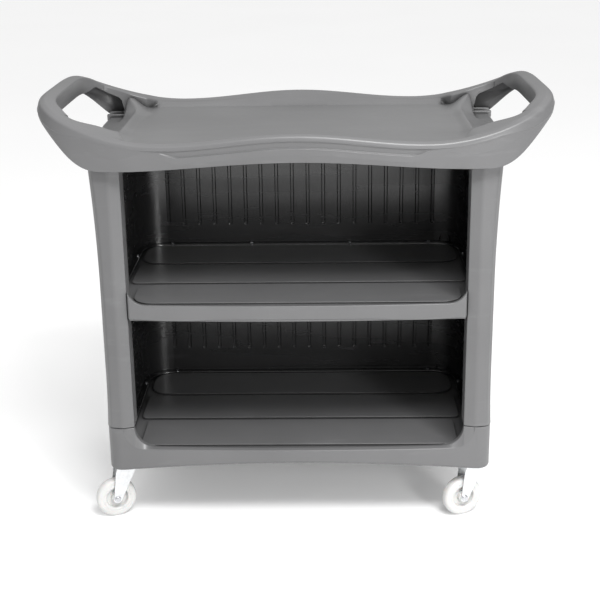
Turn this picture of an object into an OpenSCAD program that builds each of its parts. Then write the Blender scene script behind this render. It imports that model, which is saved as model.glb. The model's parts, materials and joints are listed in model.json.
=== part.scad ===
// Food service trolley: three moulded plastic shelves, four corner posts, clip-in
// panels on three sides, and four swivel casters.
// Units are millimetres. The origin is on the floor under the centre of the trolley,
// +X runs along its length, the open front faces -Y and +Z is up.

/* [Body] */
// Length over the two loop handles
overall_l = 1076; // [1060:2:1100]
// Depth over the rims of the top tray
tray_d = 580; // [570:2:590]
// Length over the outer faces of the posts
body_l = 828; // [820:2:834]
// Depth over the outer faces of the posts
body_d = 500; // [496:2:504]

/* [Levels] */
// Height of the base shelf's deck
base_deck_z = 172; // [170:1:176]
// Height of the seam between the base and the posts
seam_z = 225; // [220:1:232]
// Height of the middle shelf's deck
mid_deck_z = 508; // [490:1:520]
// Height of the top tray's floor
tray_floor_z = 841; // [836:1:860]

/* [Top tray] */
// Height of the rim's low stretches above the tray floor
rim_low = 13.5; // [12:0.5:16]
// Extra height of the rim's wave at mid-length
rim_wave = 18.5; // [10:0.5:24]
// Rise of the handles above the rim's low stretches
handle_rise = 77; // [60:1:84]
// Width of the rim along the sides
rim_w = 26; // [24:1:30]
// Width of the handle grip
grip_w = 40; // [36:1:46]

/* [Moulding] */
// Thickness of the moulded walls
wall = 4; // [3.6:0.1:4.4]
// Width of a front post
post_w = 57; // [52:1:59]
// Number of flutes in a back panel
flutes = 18; // [12:2:18]
// Width of one flute
flute_w = 7; // [5:0.5:9]

/* [Casters] */
// Diameter of a wheel
wheel_d = 90; // [86:1:92]
// Width of a wheel's tread
wheel_w = 24; // [20:1:25]
// Distance from the swivel axis back to the axle
trail = 28; // [22:1:30]
// Angle at which all the casters stand
caster_turn = 22; // [0:1:45]

/* [Hidden] */
$fn = 48;

// colours
grey = [0.42, 0.42, 0.43];
dark_grey = [0.2, 0.2, 0.21];
nylon = [0.86, 0.86, 0.85];
zinc = [0.75, 0.76, 0.78];
steel = [0.55, 0.56, 0.58];

// body
hx = body_l / 2;                    // outer face of a post, in X
hy = body_d / 2;                    // outer face of a post, in Y
post_d = 55;                        // depth of a post
post_r = 30;                        // radius of a post's outer corner
edge_r = 6;                         // radius of a post's other corners
flare = 9;                          // how far a post's outer face leans out at its top
foot_flare = 3;                     // and at its foot
foot_bend = 115;                    // height over which the foot leans
post_levels = 12;                   // steps up the curve of a post
post_in = hx - post_w;              // inner face of a post
fit_gap = 0.2;                      // gap between a tenon and its pocket
tenon_in = 6;                       // how far a tenon stands in from the post's faces
tenon_l = 60;                       // length of the lower tenon
post_top_z = tray_floor_z - 44;     // shoulder of the upper tenon
tenon_top_z = tray_floor_z - 15;    // end of the upper tenon
bend_z = mix(seam_z, post_top_z, 0.55); // where the outer face starts to lean
front_y = -hy;                      // front face of the front posts
rear_y = hy;                        // rear face of the rear posts
bow = 12;                           // how far the shelves' fronts bow out

// panels
panel_t = 3;                        // thickness of a panel
side_x = hx - 20;                   // inner face of a side panel
back_y = hy - 25;                   // inner face of a back panel
cove_r = 72;                        // radius of a back panel's concave corners
flute_step = 37.8;                  // spacing of the flutes
flute_deep = 2;                     // depth of a flute
foot_w = 15;                        // width of a panel's foot flange
foot_t = 3;                         // thickness of a panel's foot flange
gap = 0.5;                          // gap between a panel and its neighbours
groove_deep = 8;                    // depth of a post's groove for the side panel

// shelves
lip_h = 36;                         // height of the middle shelf's lip
mid_under_z = mid_deck_z - lip_h;   // lower edge of the middle shelf
skirt_z = base_deck_z - 30;         // lower edge of the base's skirt
boss_z = base_deck_z - 47;          // lower edge of the base's corners
strip_h = 2.5;                      // how far the raised deck strips stand up
border_w = 20;                      // width of the raised border along a deck's front
base_low_z = base_deck_z - strip_h; // decks between their raised strips
mid_low_z = mid_deck_z - strip_h;
gusset_r = 46;                      // radius of the base's coved front corners

// screws
screw_r = 2;                        // radius of a screw's shank
screw_y = hy - 20;                  // where the post screws sit, in Y
low_screw_z = seam_z - tenon_l / 2;
top_screw_z = post_top_z + 15;
mid_screw_z = mid_deck_z - lip_h / 2;
head_r = 4;                         // radius and height of a screw's head
head_h = 2.4;

// casters
mount_z = boss_z + 6;               // face that a caster plate bolts to
plate_t = 2.5;                      // thickness of a caster plate
plate_l = 52;                       // side of a caster plate
bolt_at = 20.5;                      // offset of a plate bolt from the swivel axis
bolt_r = 3;                         // radius of a plate bolt's shank
swivel_x = hx - 28;                 // swivel axes
swivel_y = hy - 45;
race_z = mount_z - plate_t - 3.3;   // centre height of the swivel balls
race_r = 17;                        // pitch radius of the balls
ball_r = 3;                         // radius of a ball
ball_n = 14;                        // number of balls in a caster
run = 0.05;                         // radial running clearance
race_in = 11;                       // inner and outer radius of a race
race_out = 23;
crown_top_z = race_z - 0.2;         // top of the fork's race
crown_t = 4;                        // thickness of the fork's crown with its race
leg_t = 2.5;                        // thickness of a fork leg
leg_in = wheel_w / 2 + 2;           // inner face of a fork leg
pin_r = 5;                          // radius of the kingpin
axle_r = 4;                         // radius of the axle bolt
bush_r = 6;                         // outer radius of the axle bush
wheel_r = wheel_d / 2;
hub_r = 11;                         // radius of the wheel's hub
hub_w = wheel_w + 2;                // length of the wheel's hub

// ---------- shared functions ----------
function arc(cx, cy, r, a0, a1, n = 8) =
    [for (i = [0:n]) let (a = a0 + (a1 - a0) * i / n) [cx + r * cos(a), cy + r * sin(a)]];
// rectangle with its own radius at each corner, anticlockwise from low x, low y
function rounded(x0, y0, x1, y1, r) = concat(
    arc(x0 + r[0], y0 + r[0], r[0], 180, 270), arc(x1 - r[1], y0 + r[1], r[1], 270, 360),
    arc(x1 - r[2], y1 - r[2], r[2], 0, 90), arc(x0 + r[3], y1 - r[3], r[3], 90, 180));
function smooth(t) = let (u = min(1, max(0, t))) u * u * (3 - 2 * u);
function mix(a, b, t) = a + (b - a) * t;

// closed solid through a stack of outlines, anticlockwise seen from above, lowest first
module loft(rings) {
    n = len(rings[0]);
    last = len(rings) - 1;
    polyhedron([for (r = rings) each r], concat(
        [[for (i = [0:n - 1]) i]],
        [[for (i = [0:n - 1]) last * n + n - 1 - i]],
        [for (k = [0:last - 1], i = [0:n - 1]) let (a = k * n + i, b = k * n + (i + 1) % n)
            each [[a, a + n, b + n], [a, b + n, b]]]));
}

// ---------- top tray ----------
half_l = overall_l / 2;
half_d = tray_d / 2;
plan_n = 5;                       // squareness of the rim's plan
stations = 64;                      // points round the rim
low_x = half_l * 0.503;             // where the rim is lowest
turn_x = half_l * 0.745;            // where the skirt reaches its lowest
climb_x = half_l * 0.721;           // where it starts to climb to the handle
rim_low_z = tray_floor_z + rim_low;

// point and outward normal of a superellipse at polar angle f
function plan(f, a, b, n) =
    let (r = pow(pow(abs(cos(f)) / a, n) + pow(abs(sin(f)) / b, n), -1 / n)) [r * cos(f), r * sin(f)];
function out(p, a, b, n) =
    let (g = [sign(p[0]) * pow(abs(p[0]) / a, n - 1) / a, sign(p[1]) * pow(abs(p[1]) / b, n - 1) / b])
    g / norm(g);
// height of the rim's crest and of the skirt's lower edge at a distance x from mid-length
function crest(x) = rim_low_z + (x < low_x
    ? rim_wave * (cos(180 * x / low_x) + 1) / 2
    : handle_rise * pow(min(1, (x - low_x) / (half_l - low_x)), 1.9));
function hem(x) = tray_floor_z - 26 - 9 * (1 - cos(180 * min(1, x / turn_x)))
    + (handle_rise + 21) * pow(smooth((x - climb_x) / (half_l + 7 - climb_x)), 1.45);
// width of the rim: arm_w where an arm leaves the tray, grip_w at the grip
arm_w = 60;
arm_x = 400;                        // distance from mid-length at which the arms begin
function rim_width(x) = mix(mix(rim_w, arm_w, smooth((x - arm_x + 110) / 90)), grip_w,
    smooth((x - arm_x) / (half_l - arm_x - 30)));
// cross-section of the rim: [inset from the outline, height] of an inverted channel
function rim_section(x) = let (
    w = rim_width(x), c = crest(x), b = hem(x), d = mix(6, 2, smooth((x - arm_x) / 100)))
    [[d, b], [2, c - 26], [0, c - 13], [3, c - 4], [9, c], [w - 9, c], [w - 3, c - 4], [w, c - 12],
     [w, c - 26], [w - wall, c - 26], [w - wall, c - 14], [w - 10, c - wall - 1], [10, c - wall - 1],
     [wall + 1, c - 14], [wall + 2, c - 26], [d + wall, b]];

module ring(points, per, n) {
    polyhedron(points, [for (i = [0:n - 1], j = [0:per - 1]) let (
        a = i * per + j, b = i * per + (j + 1) % per,
        c = ((i + 1) % n) * per + (j + 1) % per, d = ((i + 1) % n) * per + j)
        each [[a, b, c], [a, c, d]]]);
}

module tray_rim() {
    per = len(rim_section(0));
    ring([for (i = [0:stations - 1]) let (p = plan(360 * i / stations, half_l, half_d, plan_n),
        o = out(p, half_l, half_d, plan_n)) for (s = rim_section(abs(p[0]))) [
        p[0] - o[0] * s[0], p[1] - o[1] * s[0], s[1]]], per, stations);
}

// points round a rounded rectangle, each with its share of the end wall: 0 along the
// sides, 1 along the ends and between them round the corners
side_n = 10;                        // points along a side, round a corner and along an end
corner_n = 8;
end_n = 4;
function half_ring(a, b, r) = concat(
    [for (i = [0:side_n - 1]) [(a - r) * (2 * i / side_n - 1), -b, 0]],
    [for (i = [0:corner_n - 1]) let (f = 90 * i / corner_n)
        [a - r + r * sin(f), r - b - r * cos(f), smooth(f / 90)]],
    [for (i = [0:end_n - 1]) [a, (b - r) * (2 * i / end_n - 1), 1]],
    [for (i = [0:corner_n - 1]) let (f = 90 * i / corner_n)
        [a - r + r * cos(f), b - r + r * sin(f), smooth(1 - f / 90)]]);
function basin_ring(a, b, r) = let (h = half_ring(a, b, r)) concat(h, [for (p = h) [-p[0], -p[1], p[2]]]);

apron_x = 445;                      // free edge of the apron that slopes down to a hand hole
apron_drop = 20;                    // how far that edge lies below the floor
apron_r = 130;                      // radius of the apron's corners, under the arms
ridge_x = 378;                      // ridge between the floor and the apron
ridge_h = 12;                       // height of the ridge above the floor
basin_drop = 9;                     // how far the basin's edge lies below the rim's crest
wall_y = half_d - rim_w;            // where the basin meets the rim along the sides
floor_x = 345;                      // half length and depth of the basin's floor
floor_y = wall_y - 21;
floor_r = 40;                       // radius of the floor's corners
// rings of the basin from its underside up, round the apron's edge and in to the floor:
// [half length, half depth, corner radius, drop along the sides, height at the ends]
basin = [
    [floor_x, floor_y, floor_r, 0, 0], [ridge_x - 3, wall_y - 1, 60, 10, ridge_h - wall - 1],
    [apron_x - 5, wall_y, apron_r, 12, -apron_drop - wall],
    [apron_x, wall_y + 1, apron_r, 12, -apron_drop - 2],
    [apron_x - 2, wall_y + 2, apron_r, 8, -apron_drop], [ridge_x + 3, wall_y + 1, 62, 2, ridge_h],
    [ridge_x - 4, wall_y, 58, 0, ridge_h - 1], [floor_x, floor_y, floor_r, 0, 0]
];
// height of a point p of ring k, whose third value is its share of the end wall
function basin_z(k, p) = k == 0 ? tray_floor_z - wall : k == len(basin) - 1 ? tray_floor_z
    : mix(crest(min(abs(p[0]), floor_x)) - basin_drop - basin[k][3], tray_floor_z + basin[k][4], p[2]);

// the tray's basin: floor, sloping walls and the ridges beside the hand holes
module tray_basin() {
    loft([for (k = [0:len(basin) - 1])
        [for (p = basin_ring(basin[k][0], basin[k][1], basin[k][2])) [p[0], p[1], basin_z(k, p)]]]);
}

// room for the back panel's concave corner, at a corner drawn at +X, -Y
module cove_cut(z0, z1) {
    translate([side_x - cove_r, cove_r - back_y, z0]) cylinder(r = cove_r + panel_t + 2 * gap, h = z1 - z0);
}
// groove that a side panel's front edge slides into, at a corner drawn at +X, -Y
module panel_groove(z0) {
    translate([side_x - gap, front_y + post_d - groove_deep, z0])
        cube([panel_t + 2 * gap, post_d, tray_floor_z - z0]);
}

// horizontal hole for a post screw, drilled from the inner face of a post or socket
module screw_hole(z, r, depth) {
    translate([post_in - 1, -screw_y, z]) rotate([0, 90, 0]) cylinder(r = r, h = depth + 1);
}

// outline of the pocket that a tenon slides into, grown by o
function pocket(o) = let (m = tenon_in - fit_gap - o)
    rounded(post_in + m, front_y + m, hx - m, front_y + post_d - m, [4, 4, 4, 4]);

// socket under the tray that a post's upper tenon pushes into
module tray_socket(rear) {
    difference() {
        translate([0, 0, post_top_z + 0.5]) hull() linear_extrude(tray_floor_z + 10 - post_top_z)
            polygon(pocket(wall));
        translate([0, 0, post_top_z - 1]) hull() linear_extrude(tenon_top_z - post_top_z + 1 + fit_gap)
            polygon(pocket(0));
        screw_hole(top_screw_z, screw_r + 0.4, 12);
        if (rear) cove_cut(post_top_z - 1, tray_floor_z - wall);
        else panel_groove(post_top_z - 1);
    }
}

module top_tray() {
    color(grey) {
        tray_rim();
        tray_basin();
        for (sx = [0, 1], sy = [0, 1]) mirror([sx, 0, 0]) mirror([0, sy, 0])
            tray_socket(sy == 1, $fn = 24);
    }
}

// ---------- posts ----------
// how far the post's outer face leans out at height z
function lean(z) = z > bend_z ? flare * pow((z - bend_z) / (post_top_z - bend_z), 2)
    : foot_flare * pow(max(0, 1 - (z - seam_z) / foot_bend), 2);
// plan of the post at +X, -Y, grown on its outer face by o
function post_outline(o) =
    rounded(post_in, front_y, hx + o, front_y + post_d, [edge_r, post_r, edge_r, edge_r]);

module tenon_plan() {
    polygon(rounded(post_in + tenon_in, front_y + tenon_in, hx - tenon_in, front_y + post_d - tenon_in,
        [4, 4, 4, 4]));
}

// the post at +X, -Y; rear posts are hollowed for the back panel's concave corner
module post(rear) {
    color(grey) difference() {
        union() {
            loft([for (i = [0:post_levels]) let (z = mix(seam_z, post_top_z, i / post_levels))
                [for (p = post_outline(lean(z))) [p[0], p[1], z]]]);
            translate([0, 0, seam_z - tenon_l]) linear_extrude(tenon_top_z - seam_z + tenon_l) tenon_plan();
        }
        if (rear) cove_cut(base_low_z - gap, tray_floor_z);
        else panel_groove(base_low_z - gap);
        // pilot holes for the screws
        for (z = [low_screw_z, top_screw_z]) screw_hole(z, screw_r + run, 26);
        at_shelf_screw(rear) cylinder(r = screw_r + run, h = 20);
    }
}

module post_front_left() mirror([1, 0, 0]) post(false);
module post_front_right() post(false);
module post_rear_left() rotate(180) post(true);
module post_rear_right() mirror([0, 1, 0]) post(true);

// ---------- shelves ----------
// front edge from -x to +x that bows out by b
function bowed(x, y, b, n = 24) = [for (i = [0:n]) let (t = 2 * i / n - 1) [x * t, y - b * (1 - t * t)]];
// outline of the base, inset by i
base_x = hx + foot_flare;           // half length of the base
function base_outline(i) = let (cx = base_x - post_r, cy = front_y + post_r, r = post_r - i) concat(
    arc(-cx, cy, r, 180, 262), bowed(cx - 4, front_y + i, bow), arc(cx, cy, r, 278, 360),
    arc(cx, -cy, r, 0, 90), arc(-cx, -cy, r, 90, 180));
// outline of the middle shelf, inset by i
mid_corner = 65;                    // radius of its raised border's front corners
mid_edge = 13;                      // depth of that border
lip_r = 8;                          // radius of the lip's front corners
mid_cove_r = 24;                    // radius of the coves that carry the lip up to the posts
mid_front = front_y + 2;            // its front edge where it meets the corners
function mid_outline(i) = let (
    cx = post_in - gap - lip_r, cy = mid_front + lip_r, r = lip_r - min(i, lip_r - 1),
    behind = front_y + post_d + gap + i, bx = side_x - cove_r, by = back_y - cove_r) concat(
    arc(-cx, cy, r, 180, 262), bowed(cx - 8, mid_front + i, bow), arc(cx, cy, r, 278, 360),
    [[cx + r, behind], [side_x + panel_t - i, behind]],
    arc(bx, by, cove_r + panel_t - i, 0, 90), arc(-bx, by, cove_r + panel_t - i, 90, 180),
    [[i - side_x - panel_t, behind], [-cx - r, behind]]);
// area of the middle deck behind its raised border
function mid_inner() = let (
    cx = post_in - gap - mid_corner, cy = mid_front + mid_corner, r = mid_corner - mid_edge) concat(
    arc(-cx, cy, r, 180, 262), bowed(cx - 8, mid_front + mid_edge, bow), arc(cx, cy, r, 278, 360),
    [[hx, cy], [hx, rear_y], [-hx, rear_y], [-hx, cy]]);

// raised strips of a deck, rear to front: [half length, front Y, rear Y, corner radius]
mid_strips = [[346, 58, 200, 20], [346, -94, 50, 20], [330, -222, -102, 30]];
base_strips = [[348, 70, 203, 20], [352, -74, 62, 20], [340, -205, -82, 30]];
module strips(list, z) {
    for (s = list) translate([0, 0, z]) linear_extrude(strip_h)
        polygon(rounded(-s[0], s[1], s[0], s[2], [s[3], s[3], s[3], s[3]]));
}

rib_step = 120;                     // spacing of the ribs under a deck, and their thickness
rib_t = 3;
foot_boss_r = 5;                    // radius of the boss round a panel screw's hole
module deck_ribs() {
    for (i = [-2:2]) translate([i * rib_step - rib_t / 2, -hy]) square([rib_t, body_d]);
    for (i = [-1:1]) translate([-hx, i * rib_step - rib_t / 2]) square([body_l, rib_t]);
}

// hole down through a deck for a panel screw
module foot_hole(p, z) translate([p[0], p[1], z - 11]) cylinder(r = screw_r + run, h = 30);

// where the panel screws stand on a deck
foot_screw = foot_w - 7;            // how far a panel screw stands in from its panel
mid_side_y = 115;                   // Y of the side panels' screws
base_side_y = 140;
mid_feet = [for (sx = [-1, 1]) each [
    [sx * 313, back_y - foot_screw], [sx * 120, back_y - foot_screw],
    [sx * (side_x - foot_screw), mid_side_y]]];
base_feet = [for (sx = [-1, 1]) each [
    [sx * 317, back_y - foot_screw], [sx * (side_x - foot_screw), base_side_y]]];

// places its children with +Z along a shelf screw, from the inside of the shelf's lip,
// at the front or rear corner drawn at +X, -Y
module at_shelf_screw(rear) {
    if (rear) translate([side_x - cove_r, cove_r - back_y, mid_screw_z]) rotate([0, 90, -45])
        translate([0, 0, cove_r + panel_t - wall]) children();
    else translate([post_in + 14, front_y + post_d + gap + wall, mid_screw_z]) rotate([90, 0, 0]) children();
}

module each_shelf_screw() {
    for (sx = [0, 1]) mirror([sx, 0, 0]) {
        at_shelf_screw(false) children();
        mirror([0, 1, 0]) at_shelf_screw(true) children();
    }
}

module middle_shelf() {
    color(grey) difference() {
        union() {
            translate([0, 0, mid_under_z]) linear_extrude(lip_h - strip_h) polygon(mid_outline(0));
            translate([0, 0, mid_low_z]) linear_extrude(strip_h) difference() {
                polygon(mid_outline(0));
                polygon(mid_inner());
                translate([-hx, front_y + post_d - 1]) square([body_l, body_d]);
            }
            strips(mid_strips, mid_low_z);
            for (sx = [0, 1]) mirror([sx, 0, 0])
                translate([post_in - gap - mid_cove_r, mid_front, mid_deck_z - 1]) difference() {
                    cube([mid_cove_r, mid_edge, mid_cove_r + 1]);
                    translate([0, -1, mid_cove_r + 1]) rotate([-90, 0, 0])
                        cylinder(r = mid_cove_r, h = mid_edge + 2);
                }
        }
        // hollow underneath, with stiffening ribs and screw bosses left standing
        translate([0, 0, mid_under_z - 1]) linear_extrude(lip_h - strip_h - wall + 1) difference() {
            polygon(mid_outline(wall));
            deck_ribs();
            for (p = mid_feet) translate(p) circle(r = foot_boss_r);
        }
        for (p = mid_feet) foot_hole(p, mid_deck_z);
        each_shelf_screw() {
            translate([0, 0, -1]) cylinder(r = screw_r + run, h = wall + 2);
            translate([0, 0, -head_h - 1]) cylinder(r = head_r + 0.3, h = head_h + 1);
        }
    }
}

module base_shelf() {
    corner = 76;                    // side of a corner's square foot
    pad_l = 68;                     // side of the solid pad that a caster bolts to
    color(grey) difference() {
        union() {
            translate([0, 0, skirt_z]) linear_extrude(base_low_z - skirt_z) polygon(base_outline(0));
            translate([0, 0, base_low_z]) linear_extrude(strip_h) difference() {
                polygon(base_outline(0));
                polygon(concat(bowed(base_x - border_w, front_y + border_w, bow),
                    [[base_x - border_w, rear_y - border_w], [border_w - base_x, rear_y - border_w]]));
            }
            strips(base_strips, base_low_z);
            for (sx = [0, 1], sy = [0, 1]) mirror([sx, 0, 0]) mirror([0, sy, 0]) {
                // foot that reaches down round the caster plate
                translate([0, 0, boss_z]) linear_extrude(skirt_z - boss_z + 1) intersection() {
                    polygon(base_outline(0));
                    translate([base_x - corner, front_y]) square(corner);
                }
                // tower that holds the post
                translate([0, 0, skirt_z]) linear_extrude(seam_z - skirt_z)
                    polygon(post_outline(foot_flare));
            }
            // coved gussets that carry the front border up into the towers
            for (sx = [0, 1]) mirror([sx, 0, 0])
                translate([post_in - gusset_r, front_y, base_deck_z]) difference() {
                    cube([gusset_r + 5, post_d, gusset_r]);
                    translate([0, -1, gusset_r]) rotate([-90, 0, 0])
                        cylinder(r = gusset_r, h = post_d + 2);
                }
        }
        // hollow underneath the deck, with ribs and screw bosses left standing
        translate([0, 0, skirt_z - 1]) linear_extrude(base_low_z - skirt_z - wall + 1) difference() {
            polygon(base_outline(wall));
            deck_ribs();
            for (p = base_feet) translate(p) circle(r = foot_boss_r);
            for (sx = [-1, 1], sy = [-1, 1])
                translate([sx * swivel_x, sy * swivel_y]) square(pad_l, center = true);
        }
        for (sx = [0, 1], sy = [0, 1]) mirror([sx, 0, 0]) mirror([0, sy, 0]) {
            // recess for the caster plate
            translate([0, 0, boss_z - 1]) linear_extrude(mount_z - boss_z + 1) intersection() {
                polygon(base_outline(wall - 1));
                translate([base_x - corner + wall, front_y]) square(corner - wall - 0.5);
            }
            // pocket for the post's tenon
            translate([0, 0, seam_z - tenon_l - fit_gap]) linear_extrude(tenon_l + 1) polygon(pocket(0));
            screw_hole(low_screw_z, screw_r + 0.4, 12);
            // counterbore through the gusset for the screw's head
            translate([post_in - 12, -screw_y, low_screw_z]) rotate([0, 90, 0])
                cylinder(r = head_r + 0.5, h = 12);
            for (bx = [-1, 1], by = [-1, 1])
                translate([swivel_x + bx * bolt_at, by * bolt_at - swivel_y, mount_z - 1])
                    cylinder(r = bolt_r + run, h = 21);
            if (sy == 1) cove_cut(base_low_z, seam_z + 1);
            else panel_groove(base_low_z);
        }
        for (p = base_feet) foot_hole(p, base_deck_z);
    }
}

// ---------- panels ----------
// plan of a back panel: flat between two concave corners
module back_plan() {
    c = side_x - cove_r;
    y = back_y - cove_r;
    polygon(concat(arc(c, y, cove_r + panel_t, 0, 90), arc(-c, y, cove_r + panel_t, 90, 180),
        arc(-c, y, cove_r, 180, 90), arc(c, y, cove_r, 90, 0)));
}

// a back panel from z0 to z1 whose flutes stop at plain_z
module back_panel(z0, z1, plain_z, feet) {
    color(dark_grey) difference() {
        union() {
            translate([0, 0, z0]) linear_extrude(z1 - z0) back_plan();
            translate([cove_r - side_x, back_y - foot_w, z0])
                cube([2 * (side_x - cove_r), foot_w + 1, foot_t]);
        }
        for (i = [0:flutes - 1])
            translate([(i - (flutes - 1) / 2) * flute_step - flute_w / 2, back_y - 1, plain_z])
                cube([flute_w, flute_deep + 1, z1 - plain_z + 1]);
        for (p = feet) translate([p[0], p[1], z0 - 1]) cylinder(r = screw_r + run, h = 10);
    }
}

// the side panel at +X from z0 to z1, with its foot flange and one screw hole
module side_panel(z0, z1, foot_y) {
    y0 = front_y + post_d - groove_deep + gap;
    color(dark_grey) difference() {
        union() {
            translate([side_x, y0, z0]) cube([panel_t, back_y - cove_r - gap - y0, z1 - z0]);
            translate([side_x - foot_w, y0 + 20, z0])
                cube([foot_w + 1, back_y - cove_r - 2 * gap - y0 - 20, foot_t]);
        }
        translate([side_x - foot_screw, foot_y, z0 - 1]) cylinder(r = screw_r + run, h = 10);
    }
}

panel_top_z = tray_floor_z - wall - 4 * gap;
module back_panel_upper() back_panel(mid_low_z, panel_top_z, mid_deck_z + 46, mid_feet);
module back_panel_lower() back_panel(base_low_z, mid_under_z - gap, base_deck_z + 60, base_feet);
module right_panel_upper() side_panel(mid_low_z, panel_top_z, mid_side_y);
module right_panel_lower() side_panel(base_low_z, mid_under_z - gap, base_side_y);
module left_panel_upper() mirror([1, 0, 0]) right_panel_upper();
module left_panel_lower() mirror([1, 0, 0]) right_panel_lower();

// ---------- screws ----------
// pan-head screw whose shank runs down +Z from its head
module screw(l) {
    translate([0, 0, -head_h]) cylinder(r = head_r, h = head_h);
    cylinder(r = screw_r, h = l);
}

module post_screws() {
    color(steel) for (sx = [0, 1], sy = [0, 1]) mirror([sx, 0, 0]) mirror([0, sy, 0]) {
        translate([post_in, -screw_y, low_screw_z]) rotate([0, 90, 0]) screw(22);
        translate([post_in + tenon_in - fit_gap - wall, -screw_y, top_screw_z]) rotate([0, 90, 0]) screw(22);
    }
}

module shelf_screws() {
    color(steel) each_shelf_screw() screw(16);
}

module panel_screws() {
    color(steel) {
        for (p = mid_feet) translate([p[0], p[1], mid_low_z + foot_t]) mirror([0, 0, 1]) screw(10);
        for (p = base_feet) translate([p[0], p[1], base_low_z + foot_t]) mirror([0, 0, 1]) screw(10);
    }
}

// ---------- casters, drawn with the swivel axis on Z and the floor at z = 0 ----------
module race_groove() {
    translate([0, 0, race_z]) rotate_extrude() translate([race_r, 0]) circle(r = ball_r + run);
}

module caster_plate() {
    color(zinc) difference() {
        union() {
            translate([0, 0, mount_z - plate_t]) linear_extrude(plate_t)
                polygon(rounded(-plate_l / 2, -plate_l / 2, plate_l / 2, plate_l / 2, [5, 5, 5, 5]));
            translate([0, 0, race_z]) cylinder(r = race_out, h = mount_z - plate_t - race_z);
        }
        race_groove();
        translate([0, 0, race_z - 1]) cylinder(r = pin_r + run, h = 20);
        for (bx = [-1, 1], by = [-1, 1]) translate([bx * bolt_at, by * bolt_at, mount_z - plate_t - 1])
            cylinder(r = bolt_r + run, h = plate_t + 2);
    }
}

module caster_kingpin() {
    head_z = crown_top_z - crown_t;
    color(steel) {
        translate([0, 0, head_z - 1]) cylinder(r = pin_r, h = mount_z - head_z + 1);
        translate([0, 0, head_z - 3 - run]) cylinder(r = 8, h = 3);
    }
}

module caster_balls() {
    color(steel) for (i = [0:ball_n - 1]) rotate(360 * i / ball_n)
        translate([race_r, 0, race_z]) sphere(r = ball_r);
}

// side view of a fork leg, from the crown back to the axle
module leg_plan() {
    polygon(concat(arc(-trail, wheel_r, 10, 200, 340, 12),
        [[18, crown_top_z - crown_t - 8], [18, crown_top_z - crown_t], [-race_out + 3, crown_top_z - crown_t],
         [-race_out + 1, crown_top_z - crown_t - 10]]));
}

module caster_fork() {
    color(zinc) difference() {
        union() {
            translate([0, 0, crown_top_z - crown_t]) cylinder(r = race_out, h = crown_t);
            translate([-race_out + 3, -leg_in - leg_t, crown_top_z - crown_t])
                cube([race_out + 15, 2 * (leg_in + leg_t), leg_t]);
            for (s = [0, 1]) mirror([0, s, 0]) translate([0, leg_in + leg_t, 0]) rotate([90, 0, 0])
                linear_extrude(leg_t) leg_plan();
        }
        race_groove();
        translate([0, 0, crown_top_z - crown_t - 1]) cylinder(r = pin_r + run, h = crown_t + 2);
        translate([-trail, 0, wheel_r]) rotate([90, 0, 0]) cylinder(r = axle_r + run, h = 60, center = true);
    }
}

module along_axle() {
    translate([-trail, 0, wheel_r]) rotate([90, 0, 0]) children();
}

module caster_bush() {
    color(steel) along_axle() difference() {
        cylinder(r = bush_r, h = 2 * leg_in, center = true);
        cylinder(r = axle_r + run, h = 2 * leg_in + 2, center = true);
    }
}

module caster_axle_bolt() {
    color(steel) along_axle() {
        translate([0, 0, -leg_in - leg_t - 6]) cylinder(r = axle_r, h = 2 * (leg_in + leg_t) + 6);
        translate([0, 0, leg_in + leg_t]) rotate_extrude() polygon(concat([[0, 0]], arc(0, 0, 7, 0, 0, 1),
            [[7, 1.2], [6.2, 2.6], [4.4, 3.7], [2.2, 4.3], [0, 4.5]]));
    }
}

module caster_axle_nut() {
    color(steel) along_axle() translate([0, 0, -leg_in - leg_t - 5]) difference() {
        cylinder(r = 7.2, h = 5, $fn = 6);
        translate([0, 0, -1]) cylinder(r = axle_r + run, h = 8);
    }
}

module caster_wheel() {
    w = wheel_w / 2;
    rim_in = wheel_r - 22;          // inner radius of the solid tread ring
    web = 5;                        // half thickness of the wheel's web
    half = [[bush_r + run, hub_w / 2], [hub_r, hub_w / 2], [hub_r + 1, web], [rim_in - 2, web],
            [rim_in, w - 1.5], [wheel_r - 4, w], [wheel_r - 1.2, w - 2], [wheel_r, w - 6]];
    color(nylon) along_axle() rotate_extrude() polygon(concat(half,
        [for (i = [len(half) - 1:-1:0]) [half[i][0], -half[i][1]]]));
}

module at_caster(n) {
    translate([n[0] * swivel_x, n[1] * swivel_y, 0]) rotate(caster_turn) children();
}
module fixed_at(n) {
    translate([n[0] * swivel_x, n[1] * swivel_y, 0]) children();
}
fl = [-1, -1];
fr = [1, -1];
rl = [-1, 1];
rr = [1, 1];

module caster_bolts() {
    color(steel) for (n = [fl, fr, rl, rr]) fixed_at(n)
        for (bx = [-1, 1], by = [-1, 1]) translate([bx * bolt_at, by * bolt_at, mount_z - plate_t]) {
            translate([0, 0, -4]) cylinder(r = 5.6, h = 4, $fn = 6);
            cylinder(r = bolt_r, h = plate_t + 16);
        }
}

top_tray();
middle_shelf();
base_shelf();
post_front_left();
post_front_right();
post_rear_left();
post_rear_right();
back_panel_upper();
back_panel_lower();
left_panel_upper();
left_panel_lower();
right_panel_upper();
right_panel_lower();
post_screws();
shelf_screws();
panel_screws();
caster_bolts();
fixed_at(fl) caster_plate();  // caster_fl_plate
at_caster(fl) caster_kingpin();  // caster_fl_kingpin
at_caster(fl) caster_balls();  // caster_fl_balls
at_caster(fl) caster_fork();  // caster_fl_fork
at_caster(fl) caster_bush();  // caster_fl_bush
at_caster(fl) caster_axle_bolt();  // caster_fl_axle_bolt
at_caster(fl) caster_axle_nut();  // caster_fl_axle_nut
at_caster(fl) caster_wheel();  // caster_fl_wheel
fixed_at(fr) caster_plate();  // caster_fr_plate
at_caster(fr) caster_kingpin();  // caster_fr_kingpin
at_caster(fr) caster_balls();  // caster_fr_balls
at_caster(fr) caster_fork();  // caster_fr_fork
at_caster(fr) caster_bush();  // caster_fr_bush
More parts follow.
